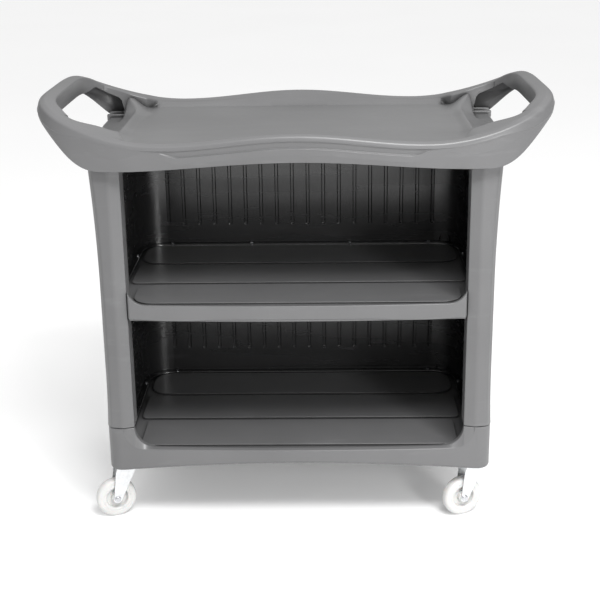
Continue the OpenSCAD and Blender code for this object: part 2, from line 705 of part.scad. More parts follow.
at_caster(fr) caster_axle_bolt();  // caster_fr_axle_bolt
at_caster(fr) caster_axle_nut();  // caster_fr_axle_nut
at_caster(fr) caster_wheel();  // caster_fr_wheel
fixed_at(rl) caster_plate();  // caster_rl_plate
at_caster(rl) caster_kingpin();  // caster_rl_kingpin
at_caster(rl) caster_balls();  // caster_rl_balls
at_caster(rl) caster_fork();  // caster_rl_fork
at_caster(rl) caster_bush();  // caster_rl_bush
at_caster(rl) caster_axle_bolt();  // caster_rl_axle_bolt
at_caster(rl) caster_axle_nut();  // caster_rl_axle_nut
at_caster(rl) caster_wheel();  // caster_rl_wheel
fixed_at(rr) caster_plate();  // caster_rr_plate
at_caster(rr) caster_kingpin();  // caster_rr_kingpin
at_caster(rr) caster_balls();  // caster_rr_balls
at_caster(rr) caster_fork();  // caster_rr_fork
at_caster(rr) caster_bush();  // caster_rr_bush
at_caster(rr) caster_axle_bolt();  // caster_rr_axle_bolt
at_caster(rr) caster_axle_nut();  // caster_rr_axle_nut
at_caster(rr) caster_wheel();  // caster_rr_wheel
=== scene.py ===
import json
import math

import bpy
import numpy as np
from mathutils import Matrix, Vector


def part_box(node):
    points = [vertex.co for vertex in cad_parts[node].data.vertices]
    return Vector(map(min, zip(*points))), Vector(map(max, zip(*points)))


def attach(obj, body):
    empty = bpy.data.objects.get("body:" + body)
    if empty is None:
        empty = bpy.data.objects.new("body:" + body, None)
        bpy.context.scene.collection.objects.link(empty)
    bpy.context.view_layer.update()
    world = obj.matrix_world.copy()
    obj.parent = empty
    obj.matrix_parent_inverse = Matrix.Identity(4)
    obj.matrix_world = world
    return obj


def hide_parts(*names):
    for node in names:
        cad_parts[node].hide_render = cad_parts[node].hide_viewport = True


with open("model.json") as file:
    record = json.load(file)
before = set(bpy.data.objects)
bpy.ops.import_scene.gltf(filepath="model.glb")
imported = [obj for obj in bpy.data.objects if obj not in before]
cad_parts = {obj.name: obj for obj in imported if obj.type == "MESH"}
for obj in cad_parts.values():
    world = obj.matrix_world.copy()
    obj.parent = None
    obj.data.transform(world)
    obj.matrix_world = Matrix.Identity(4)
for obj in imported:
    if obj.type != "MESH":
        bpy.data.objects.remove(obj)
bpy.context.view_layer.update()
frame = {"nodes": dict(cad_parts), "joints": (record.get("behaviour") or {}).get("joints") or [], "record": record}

# ---------------------------------------------------------------------------
# Sizes, in metres. The front faces -Y, +X runs along the trolley and +Z is up.
# ---------------------------------------------------------------------------
MID_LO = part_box("middle_shelf")[0]
BASE_LO, BASE_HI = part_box("base_shelf")
POST_LO, POST_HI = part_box("post_front_right")
BACK_LO, BACK_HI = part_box("back_panel_upper")
LOW_BACK_LO, LOW_BACK_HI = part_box("back_panel_lower")
SIDE_LO, SIDE_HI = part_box("right_panel_upper")
LOW_SIDE_LO, LOW_SIDE_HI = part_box("right_panel_lower")
MOUNTS = {m["name"]: m["pos_m"] for m in frame["record"]["mounts"]}

FLOOR_Z = MOUNTS["top_tray_floor"][2]
MID_Z = MOUNTS["middle_deck"][2]
BASE_Z = MOUNTS["base_deck"][2]
HALF_L, HALF_D, TOP_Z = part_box("top_tray")[1]
BASE_X, HALF_Y, SEAM_Z = BASE_HI
POST_IN, POST_FRONT = POST_LO.x, POST_LO.y
POST_TOP_Z = FLOOR_Z - 0.044
POST_BACK = POST_HI.y
FOOT_FLARE = 0.003                  # how far a post widens outwards at its foot
POST_OUT = BASE_X - FOOT_FLARE
PANEL_T = 0.003                     # thickness of a panel
SIDE_X = SIDE_HI.x - PANEL_T        # inner faces of the end panels and of the back panels
BACK_Y = BACK_HI.y - PANEL_T
COVE_R = 0.072                      # concave corners of the back panels
WALL = 0.004
SEAM = 0.0004                       # half of the gap at a joint line


def mix(a, b, t):
    return a + (b - a) * t


def smooth(t):
    t = min(1.0, max(0.0, t))
    return t * t * (3 - 2 * t)


# ---------------------------------------------------------------------------
# Outlines and meshes
# ---------------------------------------------------------------------------
def arc(cx, cy, r, start, end, n=10):
    """Points of an arc, angles in degrees."""
    angles = [math.radians(start + (end - start) * i / n) for i in range(n + 1)]
    return [(cx + r * math.cos(a), cy + r * math.sin(a)) for a in angles]


def fillet(points, radii, steps=4):
    """Closed outline with its corners rounded; a corner of radius 0 stays sharp."""
    out = []
    count = len(points)
    for i, radius in enumerate(radii):
        p = np.array(points[i], float)
        if radius == 0:
            out.append(p)
            continue
        before = np.array(points[i - 1], float) - p
        after = np.array(points[(i + 1) % count], float) - p
        la, lb = np.linalg.norm(before), np.linalg.norm(after)
        cosine = np.clip(before @ after / (la * lb), -0.9999, 0.9999)
        cut = min(radius / math.tan(math.acos(cosine) / 2), 0.48 * la, 0.48 * lb)
        start, end = p + before / la * cut, p + after / lb * cut
        for k in range(steps + 1):
            t = k / steps
            out.append((1 - t) ** 2 * start + 2 * t * (1 - t) * p + t * t * end)
    return [tuple(q) for q in out]


def rounded(x0, y0, x1, y1, r, n=8):
    """Rectangle with round corners, anticlockwise."""
    return (arc(x0 + r, y0 + r, r, 180, 270, n) + arc(x1 - r, y0 + r, r, 270, 360, n)
            + arc(x1 - r, y1 - r, r, 0, 90, n) + arc(x0 + r, y1 - r, r, 90, 180, n))


def add_mesh(name, verts, faces, crease=35):
    """A new object from points and faces."""
    mesh = bpy.data.meshes.new(name)
    mesh.from_pydata([tuple(v) for v in verts], [], faces)
    mesh.validate()
    obj = bpy.data.objects.new(name, mesh)
    bpy.context.scene.collection.objects.link(obj)
    shade(obj, crease)
    return obj


def shade(obj, crease=35):
    """Smooth shading, with a sharp edge where two faces meet at more than the crease angle."""
    mesh = obj.data
    mesh.polygons.foreach_set("use_smooth", [True] * len(mesh.polygons))
    mesh.set_sharp_from_angle(angle=math.radians(crease))
    mesh.update()


def weigh_normals(obj):
    """Lets large faces keep their own normals, so that small rounded edges don't darken them."""
    mod = obj.modifiers.new("normals", "WEIGHTED_NORMAL")
    mod.keep_sharp = True
    mod.weight = 80


def loft(name, rings, closed=False, crease=35):
    """Closed surface through equal rings of points, capped at both ends unless it closes on itself."""
    n = len(rings[0])
    verts = [v for ring in rings for v in ring]
    faces = []
    for k in range(len(rings) if closed else len(rings) - 1):
        a0, b0 = k * n, (k + 1) % len(rings) * n
        faces += [(a0 + i, a0 + (i + 1) % n, b0 + (i + 1) % n, b0 + i) for i in range(n)]
    if not closed:
        last = (len(rings) - 1) * n
        faces.append(tuple(range(n - 1, -1, -1)))
        faces.append(tuple(range(last, last + n)))
    return add_mesh(name, verts, faces, crease)


def sheet(name, top, bottom, crease=35):
    """Closed plate between two grids of points of the same size, the top one seen from above."""
    rows, cols = len(top), len(top[0])
    verts = [v for row in top for v in row] + [v for row in bottom for v in row]
    under = rows * cols
    faces = []
    for r in range(rows - 1):
        for c in range(cols - 1):
            a, b = r * cols + c, r * cols + c + 1
            faces.append((a, b, b + cols, a + cols))
            faces.append((under + a, under + a + cols, under + b + cols, under + b))
    edge = ([(0, c) for c in range(cols)] + [(r, cols - 1) for r in range(1, rows)]
            + [(rows - 1, c) for c in range(cols - 2, -1, -1)] + [(r, 0) for r in range(rows - 2, 0, -1)])
    ids = [r * cols + c for r, c in edge]
    for i, a in enumerate(ids):
        b = ids[(i + 1) % len(ids)]
        faces.append((b, a, under + a, under + b))
    return add_mesh(name, verts, faces, crease)


def slab(name, outline, z0, z1, top_r=0.002, low_r=0.001, crease=35):
    """Plate with rounded edges; outline(inset) gives its plan, anticlockwise."""
    rows = []
    for k in range(4):
        a = math.pi / 2 * k / 3
        rows.append((low_r * (1 - math.sin(a)), z0 + low_r * (1 - math.cos(a))))
    for k in range(5):
        a = math.pi / 2 * k / 4
        rows.append((top_r * (1 - math.cos(a)), z1 - top_r * (1 - math.sin(a))))
    rings = [[(x, y, z) for x, y in outline(inset)] for inset, z in rows]
    return loft(name, rings, crease=crease)


def lathe(name, profile, segments=96, crease=35):
    """Closed ring about the Y axis through the origin from a closed (radius, y) profile."""
    rings = []
    for k in range(segments):
        a = 2 * math.pi * k / segments
        rings.append([(r * math.cos(a), y, r * math.sin(a)) for r, y in profile])
    return loft(name, rings, closed=True, crease=crease)


def boolean(obj, others, operation):
    """Joins the others to obj or cuts them out of it, and uses them up."""
    for other in others:
        mod = obj.modifiers.new("cut", "BOOLEAN")
        mod.operation = operation
        mod.solver = "MANIFOLD"
        mod.object = other
    graph = bpy.context.evaluated_depsgraph_get()
    mesh = bpy.data.meshes.new_from_object(obj.evaluated_get(graph))
    obj.modifiers.clear()
    obj.data = mesh
    for other in others:
        bpy.data.objects.remove(other)
    return obj


def union(obj, others):
    return boolean(obj, others, "UNION")


def reflect(mesh, sx, sy):
    """Mirrors a mesh through x = 0 and y = 0 where sx and sy are -1, keeping its faces outwards."""
    mesh.transform(Matrix.Diagonal((sx, sy, 1, 1)))
    if sx * sy < 0:
        mesh.flip_normals()


def mirrored(obj, name):
    """A copy of obj mirrored through x = 0."""
    mesh = obj.data.copy()
    reflect(mesh, -1, 1)
    other = bpy.data.objects.new(name, mesh)
    bpy.context.scene.collection.objects.link(other)
    return other


# ---------------------------------------------------------------------------
# Materials
# ---------------------------------------------------------------------------
class Nodes:
    """Short forms for building one material's node tree."""

    def __init__(self, name):
        self.material = bpy.data.materials.new(name)
        self.material.use_nodes = True
        self.tree = self.material.node_tree
        self.bsdf = self.tree.nodes["Principled BSDF"]
        self.coord = self.tree.nodes.new("ShaderNodeTexCoord").outputs["Object"]

    def link(self, a, b):
        self.tree.links.new(a, b)

    def noise(self, scale, detail=3.0, stretch=(1, 1, 1)):
        """Noise whose features are about 1 / scale metres across."""
        mapping = self.tree.nodes.new("ShaderNodeMapping")
        mapping.inputs["Scale"].default_value = stretch
        self.link(self.coord, mapping.inputs["Vector"])
        node = self.tree.nodes.new("ShaderNodeTexNoise")
        node.inputs["Scale"].default_value = scale
        node.inputs["Detail"].default_value = detail
        self.link(mapping.outputs["Vector"], node.inputs["Vector"])
        return node.outputs["Fac"]

    def remap(self, value, low, high, to_low, to_high):
        node = self.tree.nodes.new("ShaderNodeMapRange")
        for key, number in (("From Min", low), ("From Max", high), ("To Min", to_low), ("To Max", to_high)):
            node.inputs[key].default_value = number
        self.link(value, node.inputs["Value"])
        return node.outputs["Result"]

    def math(self, operation, a, b):
        node = self.tree.nodes.new("ShaderNodeMath")
        node.operation = operation
        for socket, value in zip(node.inputs, (a, b)):
            if isinstance(value, (int, float)):
                socket.default_value = value
            else:
                self.link(value, socket)
        return node.outputs["Value"]

    def blend(self, factor, a, b):
        node = self.tree.nodes.new("ShaderNodeMix")
        node.data_type = "RGBA"
        self.link(factor, node.inputs["Factor"])
        for socket, value in ((node.inputs[6], a), (node.inputs[7], b)):
            if isinstance(value, tuple):
                socket.default_value = (*value, 1)
            else:
                self.link(value, socket)
        return node.outputs[2]

    def bump(self, height, strength, distance, below=None):
        node = self.tree.nodes.new("ShaderNodeBump")
        node.inputs["Strength"].default_value = strength
        node.inputs["Distance"].default_value = distance
        self.link(height, node.inputs["Height"])
        if below is not None:
            self.link(below, node.inputs["Normal"])
        return node.outputs["Normal"]

    def crevice_shade_mask(self, distance, low, high):
        """Mask for painted shade: 0 in narrow grooves and tight inner corners, 1 on open faces."""
        node = self.tree.nodes.new("ShaderNodeAmbientOcclusion")
        node.samples = 6
        node.inputs["Distance"].default_value = distance
        return self.remap(node.outputs["AO"], low, high, 0.0, 1.0)

    def edges(self, low=0.53, high=0.62):
        """1 on convex edges, 0 elsewhere; these edges are lightened as rubbed wear, and on the dark panels also as
        a painted highlight.
        """
        pointiness = self.tree.nodes.new("ShaderNodeNewGeometry").outputs["Pointiness"]
        return self.remap(pointiness, low, high, 0.0, 1.0)


def moulded_plastic(name, colour, worn_and_sheen, roughness, crevice_shade=0.22, gloss=0.5, grain=0.00006):
    """Moulded polypropylene: fine spark-eroded grain, faint flow marks, scuffs and rubbed edges, with painted
    shade in grooves and inner corners; on the dark panels the lighter edges are also a painted highlight.
    """
    n = Nodes(name)
    fine = n.noise(1500, 2)
    grain_map = n.noise(420, 3)
    mottle = n.noise(3.2, 4)
    flow = n.noise(5, 3, (0.35, 1, 3.5))
    scuff = n.remap(n.noise(38, 6, (0.25, 1, 1.6)), 0.60, 0.74, 0.0, 0.55)
    shades = tuple(c * 0.93 for c in colour), tuple(c * 1.07 for c in colour)
    base = n.blend(n.remap(mottle, 0.35, 0.65, 0.0, 1.0), *shades)
    # rubbed wear on convex edges; on the dark panels the lighter edges also serve as a painted highlight along the
    # flutes
    wear_and_sheen = n.math("MULTIPLY", n.edges(), n.remap(n.noise(60, 4), 0.4, 0.65, 0.15, 0.75))
    tone = n.blend(n.math("MULTIPLY", scuff, 0.22), base, worn_and_sheen)
    tone = n.blend(wear_and_sheen, tone, worn_and_sheen)
    # painted shade: grooves and tight inner corners darken towards a fraction of the colour, as if in shadow
    tone = n.blend(n.crevice_shade_mask(0.018, 0.58, 0.90), tuple(c * crevice_shade for c in colour), tone)
    n.link(tone, n.bsdf.inputs["Base Color"])
    rough = n.remap(flow, 0.3, 0.7, roughness - 0.05, roughness + 0.07)
    rough = n.math("ADD", rough, n.math("MULTIPLY", scuff, 0.12))
    n.link(rough, n.bsdf.inputs["Roughness"])
    low = n.bump(flow, 0.25, 0.0008)
    mid = n.bump(grain_map, 0.35, grain * 3, low)
    n.link(n.bump(fine, 0.45, grain, mid), n.bsdf.inputs["Normal"])
    n.bsdf.inputs["IOR"].default_value = 1.49
    n.bsdf.inputs["Specular IOR Level"].default_value = gloss
    return n.material


def nylon(name, colour):
    """Off-white moulded nylon: faint cloudiness, a little dirt and fine turning marks on the tread."""
    n = Nodes(name)
    cloud = n.noise(22, 4)
    dirt = n.remap(n.noise(90, 6), 0.56, 0.75, 0.0, 0.5)
    base = n.blend(n.remap(cloud, 0.35, 0.65, 0.0, 1.0), tuple(c * 0.94 for c in colour), colour)
    n.link(n.blend(dirt, base, tuple(c * 0.72 for c in colour)), n.bsdf.inputs["Base Color"])
    n.link(n.remap(cloud, 0.3, 0.7, 0.32, 0.46), n.bsdf.inputs["Roughness"])
    n.link(n.bump(n.noise(900, 3), 0.3, 0.00008), n.bsdf.inputs["Normal"])
    n.bsdf.inputs["Subsurface Weight"].default_value = 0.08
    n.bsdf.inputs["Subsurface Scale"].default_value = 0.004
    return n.material


def plated_steel(name, colour, roughness, metallic=1.0):
    """Zinc-plated or bright steel: spangle, faint brushing and duller patches."""
    n = Nodes(name)
    patch = n.noise(140, 3)
    brushed = n.noise(700, 2, (1, 1, 0.08))
    base = n.blend(n.remap(patch, 0.3, 0.7, 0.0, 1.0), tuple(c * 0.86 for c in colour), colour)
    n.link(base, n.bsdf.inputs["Base Color"])
    rough = n.remap(patch, 0.3, 0.7, roughness - 0.06, roughness + 0.1)
    n.link(rough, n.bsdf.inputs["Roughness"])
    n.link(n.bump(brushed, 0.25, 0.00005), n.bsdf.inputs["Normal"])
    n.bsdf.inputs["Metallic"].default_value = metallic
    return n.material


GREY, WORN_GREY = (0.128, 0.128, 0.130), (0.26, 0.26, 0.265)
# the dark panels' light edge colour is partly rubbed wear and partly a painted highlight on the flute edges
DARK, DARK_WEAR_AND_SHEEN = (0.016, 0.016, 0.0165), (0.10, 0.10, 0.105)
MATERIALS = {
    "grey_plastic": moulded_plastic("grey_plastic", GREY, WORN_GREY, 0.36),
    "dark_panel_plastic": moulded_plastic("dark_panel_plastic", DARK, DARK_WEAR_AND_SHEEN, 0.25, 0.9, 0.95),
    "wheel_nylon": nylon("wheel_nylon", (0.60, 0.60, 0.59)),
    "zinc_steel": plated_steel("zinc_steel", (0.78, 0.79, 0.80), 0.34, 0.85),
    "steel": plated_steel("steel", (0.62, 0.63, 0.65), 0.25),
}


def finish_piece(obj, slot, body, *nodes, crease=35):
    """Gives a piece its material and puts it on its body in place of CAD nodes."""
    obj.data.materials.clear()
    obj.data.materials.append(MATERIALS[slot])
    shade(obj, crease)
    weigh_normals(obj)
    if nodes:
        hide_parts(*nodes)
    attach(obj, body)
    return obj


# ---------------------------------------------------------------------------
# Top tray: rolled rim with loop handles, basin with aprons, and post sockets
# ---------------------------------------------------------------------------
SQUARENESS = 5.0                    # exponent of the rim's superellipse plan
RIM_LOW = 0.0135                    # rim's low stretches above the tray floor
RIM_WAVE = 0.0185                   # extra height of the rim at mid-length
LOW_X = HALF_L * 0.503              # where the rim is lowest
TURN_X = HALF_L * 0.745             # where the skirt reaches its lowest
CLIMB_X = HALF_L * 0.721            # where it starts to climb to the handle
ARM_X = 0.335                       # where the rim's inner slope turns into an arm
GRIP_X = 0.485                      # where the thicker grip begins
APRON_X = 0.445                     # free edge of the apron beside a hand hole
APRON_DROP = 0.020                  # how far that edge lies below the tray's floor
RIDGE_X = 0.372                     # ridge across the end of the tray's floor
RIDGE_H = 0.009
RECESS = 0.0028                     # depth of the long recess under the rim's crest
SHELL_T = 0.0038                    # thickness of the rim's shell
HEM_DROP = 0.026                    # skirt's lower edge below the tray floor at mid-length
HEM_DIP = 0.018                     # how much lower it is beside the posts
HANDLE_RISE = 0.098                 # how far it climbs from there to the handle's nose
STATIONS = 440                      # sections round the rim
DENSE = 4000                        # steps that measure the plan's length


def plan_point(angle):
    """Point and outward normal of the rim's plan at a polar angle."""
    c, s = math.cos(angle), math.sin(angle)
    k = SQUARENESS
    r = (abs(c / HALF_L) ** k + abs(s / HALF_D) ** k) ** (-1 / k)
    x, y = r * c, r * s
    gx = math.copysign(abs(x / HALF_L) ** (k - 1) / HALF_L, x)
    gy = math.copysign(abs(y / HALF_D) ** (k - 1) / HALF_D, y)
    length = math.hypot(gx, gy)
    return x, y, gx / length, gy / length


def plan_stations():
    """Stations evenly spaced along the plan, with extra ones where the grips begin."""
    turn = np.linspace(0, 2 * math.pi, DENSE + 1)
    dense = [plan_point(a) for a in turn]
    xy = np.array([(p[0], p[1]) for p in dense])
    along = np.r_[0, np.cumsum(np.hypot(*np.diff(xy, axis=0).T))]
    marks = list(np.linspace(0, along[-1], STATIONS, endpoint=False))
    for i in range(DENSE):
        if (abs(xy[i, 0]) - GRIP_X) * (abs(xy[i + 1, 0]) - GRIP_X) < 0:
            marks += [along[i] - 0.0008, along[i], along[i] + 0.0008]
    return [plan_point(a) for a in np.interp(sorted(marks), along, turn)]


def rim_half_y(x):
    """Half depth of the plan at x."""
    return HALF_D * max(0.0, 1 - (abs(x) / HALF_L) ** SQUARENESS) ** (1 / SQUARENESS)


def crest(x):
    """Height of the rim's crest at x: a low wave at mid-length, climbing to the handles."""
    low = FLOOR_Z + RIM_LOW
    x = abs(x)
    if x < LOW_X:
        return low + RIM_WAVE * (math.cos(math.pi * x / LOW_X) + 1) / 2
    return low + (TOP_Z - low) * min(1, (x - LOW_X) / (HALF_L - LOW_X)) ** 1.9


def hem(x):
    """Height of the skirt's lower edge at x."""
    x = abs(x)
    climb = smooth((x - CLIMB_X) / (HALF_L + 0.007 - CLIMB_X)) ** 1.45
    dip = (1 - math.cos(math.pi * min(1, x / TURN_X))) / 2
    return FLOOR_Z - HEM_DROP - HEM_DIP * dip + HANDLE_RISE * climb


def rim_section(x):
    """Closed section of the rim at x: (distance in from the plan, height) pairs.

    The shares arm, grip, nose and closed run from 0 to 1 along the trolley. The rim slopes down
    to the tray's floor at mid-length. It becomes a flat-topped arm beside a hand hole, then a
    narrower grip, and the nose at its end hangs down all round."""
    x = abs(x)
    top, low = crest(x), hem(x)
    arm = smooth((x - ARM_X) / 0.035)
    grip = smooth((x - 0.400) / 0.085)
    nose = smooth((x - 0.505) / 0.030)
    closed = 1 - smooth((x - 0.424) / 0.014)
    sleeve = 0.004 * (1 - nose) if x > GRIP_X else 0.0
    t = SHELL_T

    # outer face: the widest point, and the band below it with its recess
    wide = top - mix(0.013, mix(0.028, 0.020, nose), smooth((x - 0.40) / 0.10))
    band = top - mix(mix(0.0295, 0.0170, smooth((x - 0.225) / 0.055)), 0.036, smooth((x - 0.295) / 0.06))
    band = max(band, mix(low, wide, 0.6))
    recess = RECESS * (1 - smooth((x - 0.245) / 0.04))
    hem_in = mix(0.007, 0.003, smooth((x - 0.40) / 0.06))
    below = mix(band - 0.012, mix(low, wide, 0.5), arm)

    # inner edge of the top, and the foot where the inner face ends
    inner = mix(0.026, mix(0.068, 0.040, grip), arm) + sleeve
    inner_z = mix(mix(top, FLOOR_Z, 0.42), top + mix(0.003, -0.002, grip), arm)
    drop = mix(mix(0.0185, 0.052, closed), 0.040, nose)
    foot = mix(0.050, inner + 0.001, arm)
    foot_z = mix(FLOOR_Z - 0.0005, top - drop, arm)
    wall_z = mix(mix(top, FLOOR_Z, 0.68), mix(inner_z, foot_z, 0.7), arm)
    wall_under_z = mix(FLOOR_Z - 0.003, mix(inner_z - 0.009, foot_z, 0.35), arm)

    section = [                       # distance in, height, radius of the corner
        (hem_in, low, 0.0016),
        (mix(0.0028, 0.0012, grip), below, 0.012),
        (0.0012, band, 0.0022),
        (0.0012 + recess, band + 0.0025, 0.0022),
        (0.0010 + recess * 0.7, mix(band, wide, 0.8), 0.008),
        (0.0, wide, 0.012),
        (mix(0.0026, 0.005, grip), top - 0.0045, 0.009),
        (mix(0.0105, 0.016, grip), top + 0.0008, 0.012),
        (inner - mix(0.004, 0.007, arm), mix(inner_z + 0.003, inner_z + 0.0002, arm), 0.005),
        (inner, inner_z - 0.002 * arm, 0.005),
        (mix(0.036, inner + 0.001, arm), wall_z, 0.01),
        (foot, foot_z, 0.0014),
        (foot - t * arm, foot_z - t * (1 - arm), 0.0014),
        (mix(0.030, inner - t, arm), wall_under_z, 0.004),
        (inner - mix(0.004, 0.010, arm), inner_z - mix(0.004, 0.006, arm), 0.004),
        (mix(0.013, 0.018, grip), top - t - 0.001, 0.005),
        (0.0065 + 0.002 * grip, top - 0.010, 0.004),
        (t + 0.0012, wide - 0.003, 0.004),
        (t + 0.0035, mix(low, wide, 0.5), 0.01),
        (hem_in + t, low, 0.0016),
    ]
    return fillet([(d, z) for d, z, r in section], [r for d, z, r in section], 4)


def tray_rim():
    """The rolled rim as one closed loop."""
    rings = []
    for x, y, nx, ny in plan_stations():
        rings.append([(x - nx * d, y - ny * d, z) for d, z in rim_section(x)])
    return loft("top_tray_shell", [r[::-1] for r in rings], closed=True)


def ridge_at(ey):
    """Distance of the end ridge from mid-length, bending outwards into the horns."""
    return RIDGE_X + 0.026 * smooth((ey - 0.125) / 0.085)


def floor_height(x, y):
    """Top of the basin's plate: floor, ridge, and apron sloping down to the hand hole."""
    ex, ey = abs(x), abs(y)
    ridge = RIDGE_H + 0.020 * smooth((ey - 0.110) / 0.095)
    peak = ridge_at(ey)
    start = peak - mix(0.026, 0.058, smooth((ey - 0.08) / 0.12))
    if ex < peak:
        return FLOOR_Z + ridge * smooth((ex - start) / (peak - start)) ** 1.3
    slope = ((ex - peak) / (APRON_X - peak)) ** 0.85
    z = FLOOR_Z + mix(ridge, -APRON_DROP, min(1.0, slope))
    ledge = smooth((ex - 0.402) / 0.004) * smooth((ey - 0.075) / 0.03)
    return mix(z, FLOOR_Z - 0.0165, ledge)


def tray_basin():
    """Floor, ridges and aprons as one plate, with a finer grid towards the ends."""
    half = [APRON_X, APRON_X - 0.001, APRON_X - 0.003] + list(np.linspace(APRON_X - 0.006, 0.3, 74))
    half += list(np.linspace(0.29, 0, 16))
    xs = [-x for x in half] + half[-2::-1]
    ts = np.linspace(-1, 1, 121)
    upper, lower = [], []
    for t in ts:
        upper.append([])
        lower.append([])
        for x in xs:
            y = t * (rim_half_y(x) - 0.0055)
            lip = smooth((abs(x) - APRON_X + 0.003) / 0.003) * 0.0013
            upper[-1].append((x, y, floor_height(x, y) - lip))
            lower[-1].append((x, y, floor_height(x, y) - WALL + lip))
    return sheet("basin", upper, lower)


def socket_plan(i):
    """Plan of the tray's socket for the post at +X, -Y, inset by i."""
    m = 0.0058 - WALL + i
    return rounded(POST_IN + m, POST_FRONT + m, POST_OUT - m, POST_BACK - m, 0.006)


def collar_rail(y):
    """Short rail of the collar at the end of a socket."""
    def outline(i):
        return rounded(0.404 + i, y + i, 0.452 - i, y + 0.009 - i, 0.004)
    return slab("collar", outline, FLOOR_Z - 0.024, FLOOR_Z - 0.009, 0.003)


def top_tray():
    tray = tray_rim()
    parts = [tray_basin()]
    for sx in (1, -1):
        for sy in (1, -1):
            socket = slab("socket", socket_plan, POST_TOP_Z + 0.0005, FLOOR_Z - 0.002, 0.001)
            for piece in (socket, collar_rail(-0.247), collar_rail(-0.205)):
                reflect(piece.data, sx, sy)
                parts.append(piece)
    union(tray, parts)
    return finish_piece(tray, "grey_plastic", "trolley", "top_tray")


# ---------------------------------------------------------------------------
# Posts
# ---------------------------------------------------------------------------
POST_BEND = mix(SEAM_Z, POST_TOP_Z, 0.55)
POST_FLARE = POST_HI.x - POST_OUT
FACET_W = 0.024                     # inner facet of a post's front face: width, and depth at its edge
FACET_D = 0.0075


def post_lean(z):
    """How far a post's outer face stands out at height z."""
    if z > POST_BEND:
        return POST_FLARE * min(1.0, (z - POST_BEND) / (POST_TOP_Z - POST_BEND)) ** 2
    return FOOT_FLARE * max(0.0, 1 - (z - SEAM_Z) / 0.115) ** 2


def post_plan(out, inset):
    """Plan of the post at +X, -Y: a soft crease down its front divides it into two facets."""
    y = POST_FRONT
    points = [(POST_IN + inset, y + FACET_D + inset), (POST_IN + FACET_W, y + inset),
              (out - 0.009, y + 0.0055 + inset), (out - inset, y + 0.019), (out - inset, POST_BACK - inset),
              (POST_IN + inset, POST_BACK - inset)]
    return fillet(points, [0.003, 0.020, 0.012, 0.016, 0.006, 0.006], 6)


def front_post():
    """The post at +X, -Y, widening a little at its foot and towards the tray."""
    z0, z1 = SEAM_Z + SEAM, POST_TOP_Z
    rows = [(0.0016, z0), (0.0005, z0 + 0.0004), (0, z0 + 0.0016)]
    rows += [(0, mix(z0 + 0.0016, z1 - 0.0012, (i + 1) / 40)) for i in range(40)]
    rows += [(0.0012, z1)]
    rings = [[(x, y, z) for x, y in post_plan(POST_OUT + post_lean(z), inset)] for inset, z in rows]
    return loft("post_front_right_cover", rings, crease=28)


def cove_space(z0, z1):
    """Room for the back panel's concave corner, at the corner at +X, -Y."""
    cx, cy = SIDE_X - COVE_R, COVE_R - BACK_Y
    r = COVE_R + PANEL_T + 0.001
    return loft("cove", [[(x, y, z) for x, y in arc(cx, cy, r, 0, 345, 71)] for z in (z0, z1)])


def rear_post():
    """The post at +X, -Y hollowed for the back panel's concave corner."""
    post = front_post()
    return boolean(post, [cove_space(SEAM_Z - 0.01, FLOOR_Z)], "DIFFERENCE")


def posts():
    right = front_post()
    left = mirrored(right, "post_front_left_cover")
    rear_right = rear_post()
    rear_right.name = "post_rear_right_cover"
    reflect(rear_right.data, 1, -1)
    rear_left = mirrored(rear_right, "post_rear_left_cover")
    for obj, node in ((right, "post_front_right"), (left, "post_front_left"),
                      (rear_right, "post_rear_right"), (rear_left, "post_rear_left")):
        finish_piece(obj, "grey_plastic", "trolley", node, crease=28)


# ---------------------------------------------------------------------------
# Shelves
# ---------------------------------------------------------------------------
BOW = 0.012                         # how far the shelves' fronts bow out
GROOVE_D = 0.0055                   # depth of the grooves between a deck's strips
MID_EDGE = 0.011                    # thickness of the middle shelf's front lip
LIP_R = 0.006                       # its plan radius at each end
MID_FRONT = POST_FRONT + 0.002
MID_END = POST_IN - 0.0005
# strips of the two decks: half length, front, rear and corner radius
MID_STRIPS = ((0.370, 0.060, 0.204, 0.045), (0.370, -0.091, 0.047, 0.012), (0.350, -0.232, -0.104, 0.045))
BASE_STRIPS = ((0.366, 0.072, 0.204, 0.045), (0.367, -0.071, 0.059, 0.012), (0.350, -0.216, -0.084, 0.014))
BORDER_W = 0.020                    # border round the base's deck
GUSSET_R = 0.045                    # coves between the base and its posts
RIB_STEP = 0.120
SKIRT_Z = BASE_Z - 0.030
FOOT_Z = BASE_LO.z
FOOT_W = 0.076                      # pads that the casters bolt to
CORNER_R = 0.030


def bowed(x, y, n=40):
    """Front edge from -x to +x."""
    ts = [2 * i / n - 1 for i in range(n + 1)]
    return [(x * t, y - BOW * (1 - t * t)) for t in ts]


def mid_outline(i):
    """Plan of the middle shelf inset by i: bowed front, steps behind the posts, round rear corners."""
    cx, cy = POST_IN - 0.0005 - LIP_R, MID_FRONT + LIP_R
    r = LIP_R - min(i, LIP_R - 0.001)
    behind = POST_BACK + 0.0005 + i
    bx, by = SIDE_X - COVE_R, BACK_Y - COVE_R
    rc = COVE_R + PANEL_T - i
    return (arc(-cx, cy, r, 180, 262, 6) + bowed(cx - 0.008, MID_FRONT + i) + arc(cx, cy, r, 278, 360, 6)
            + [(cx + r, behind), (SIDE_X + PANEL_T - i, behind)] + arc(bx, by, rc, 0, 90, 16)
            + arc(-bx, by, rc, 90, 180, 16) + [(i - SIDE_X - PANEL_T, behind), (-cx - r, behind)])


